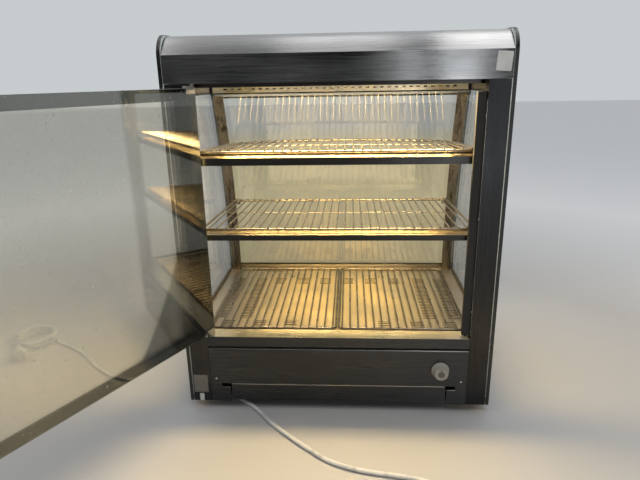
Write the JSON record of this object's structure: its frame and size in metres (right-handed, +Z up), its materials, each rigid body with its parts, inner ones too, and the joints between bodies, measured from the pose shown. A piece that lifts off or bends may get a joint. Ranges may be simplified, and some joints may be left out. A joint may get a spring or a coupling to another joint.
{
  "type": "food holding cabinet",
  "caption": "Counter-top heated food display cabinet with curved customer glass, wire racks, lit hood and a side-hinged glass door.",
  "frame": {"origin": "on the counter, under the middle of the assembly's outline with the door open and the cord left out. The cabinet itself stands 122 mm towards +X from it, with its front plane 10 mm towards +Y", "axes": "+X to the right as the door side is looked at, +Y from the door side to the customer side, +Z up"},
  "size_m": [1.0198, 1.2479, 0.89],
  "materials": {
    "brushed_steel": "brushed stainless sheet with light wear",
    "dark_steel": "brushed stainless sheet, darker and smeared",
    "polished_steel": "polished stainless",
    "rack_wire": "bright drawn wire, slightly browned by heat",
    "clear_glass": "clear toughened glass with dark edges",
    "tinted_glass": "grey toughened glass with a darker printed border",
    "black_rubber": "matte black",
    "cream_plastic": "satin off-white moulding",
    "amber_lens": "small amber lamp lens",
    "white_ceramic": "matte white insulator",
    "opal_cover": "opal warm white light cover",
    "heater_steel": "heat-tinted tube",
    "cord_grey": "light grey cable sheath and moulded plug"
  },
  "bodies": {
    "cabinet": {"base_tub": "brushed_steel", "foot_front_left": "black_rubber", "foot_front_right": "black_rubber", "foot_rear_left": "black_rubber", "foot_rear_right": "black_rubber", "front_sill": "brushed_steel", "floor_plate": "dark_steel", "floor_gasket_left": "black_rubber", "floor_gasket_right": "black_rubber", "control_panel": "brushed_steel", "panel_screw_left": "polished_steel", "panel_screw_right": "polished_steel", "indicator_lamp": "amber_lens", "thermostat_body": "white_ceramic", "tray_runner_left": "dark_steel", "tray_runner_right": "dark_steel", "heating_element": "heater_steel", "heater_bracket_front": "dark_steel", "heater_bracket_rear": "dark_steel", "terminal_block": "white_ceramic", "front_post_left": "dark_steel", "front_post_right": "dark_steel", "magnet_strip": "black_rubber", "hinge_seal": "black_rubber", "top_shelf_bar": "dark_steel", "middle_shelf_bar": "dark_steel", "rear_post_left": "polished_steel", "rear_post_right": "polished_steel", "top_rack": "rack_wire", "middle_rack": "rack_wire", "bottom_rack_left": "rack_wire", "bottom_rack_right": "rack_wire", "far_glass": "clear_glass", "far_glass_rail": "brushed_steel", "side_glass_left": "clear_glass", "side_glass_right": "clear_glass", "hood_shell": "brushed_steel", "ceiling_panel": "brushed_steel", "lamp_cover": "opal_cover", "lamp_tube": "opal_cover", "lamp_holder_left": "white_ceramic", "lamp_holder_right": "white_ceramic", "lamp_reflector": "polished_steel", "rear_header": "brushed_steel", "pivot_bush_bottom": "cream_plastic", "pivot_bush_top": "cream_plastic", "cable_gland": "black_rubber", "mains_cord": "cord_grey", "cord_coil": "cord_grey", "mains_plug": "cord_grey"},
    "door": {"door_glass": "tinted_glass", "door_pivot_bottom": "polished_steel", "door_pivot_top": "polished_steel", "door_handle": "polished_steel", "handle_screw_lower": "polished_steel", "handle_screw_upper": "polished_steel"},
    "drawer": {"crumb_tray_front": "brushed_steel", "crumb_tray": "dark_steel"},
    "knob": {"thermostat_knob": "cream_plastic", "thermostat_spindle": "polished_steel"}
  },
  "joints": [
    {"name": "door_hinge", "type": "hinge", "parent": "cabinet", "child": "door", "pos_m": [-0.18238, 0.01637, 0.49], "axis": [0, 0, 1], "range_deg": [0, 117.5]},
    {"name": "knob_turn", "type": "hinge", "parent": "cabinet", "child": "knob", "pos_m": [0.37062, 0.00037, 0.116], "axis": [0, 1, 0], "range_deg": [0, 270]},
    {"name": "drawer_slide", "type": "slide", "parent": "cabinet", "child": "drawer", "axis": [0, -1, 0], "range_m": [0, 0.35]}
  ]
}
